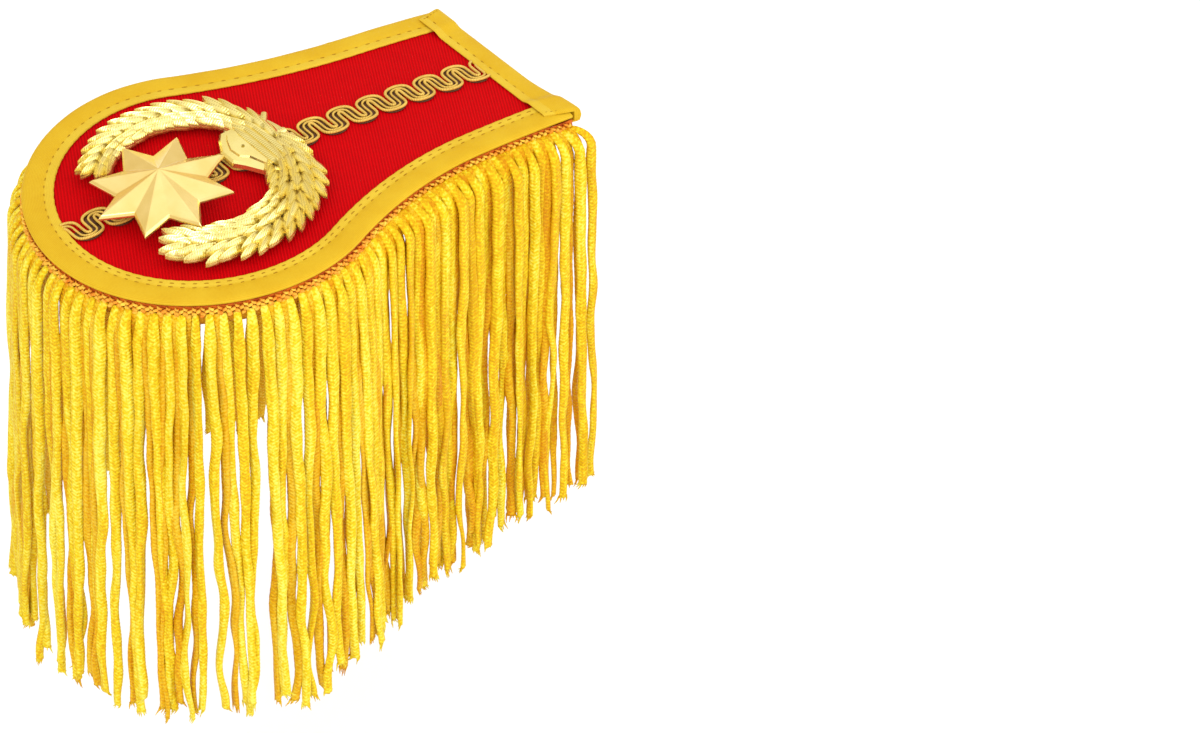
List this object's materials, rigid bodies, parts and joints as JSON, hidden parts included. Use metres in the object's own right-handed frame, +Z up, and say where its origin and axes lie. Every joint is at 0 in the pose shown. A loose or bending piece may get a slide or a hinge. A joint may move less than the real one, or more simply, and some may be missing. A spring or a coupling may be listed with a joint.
{
  "type": "bullion epaulette",
  "caption": "Keyhole shoulder board in cloth with bound edges, scroll braid, cast wreath and star, and a long fringe hanging round its sides and round end.",
  "frame": {"origin": "middle of the round end, on the underside of the board, where it rests on the shoulder", "axes": "+X along the board towards the square end, +Y across it, +Z up through the crest"},
  "size_m": [0.1662, 0.117, 0.1712],
  "materials": {
    "red_cloth": "bright red ribbed twill",
    "gold_tape": "golden yellow satin tape, stitched",
    "gold_heading": "orange-gold knitted heading",
    "gold_fringe": "shiny yellow knitted cords",
    "gimp_braid": "antique gold scroll gimp with dark gaps",
    "cast_gold": "polished pale gold plate",
    "pin_steel": "plain steel"
  },
  "bodies": {
    "root": {"cloth_board": "red_cloth", "side_binding": "gold_tape", "end_binding": "gold_tape", "fringe_heading": "gold_heading", "fringe": "gold_fringe", "centre_braid": "gimp_braid", "wreath": "cast_gold", "star": "cast_gold", "pin_bar": "pin_steel"}
  },
  "joints": []
}
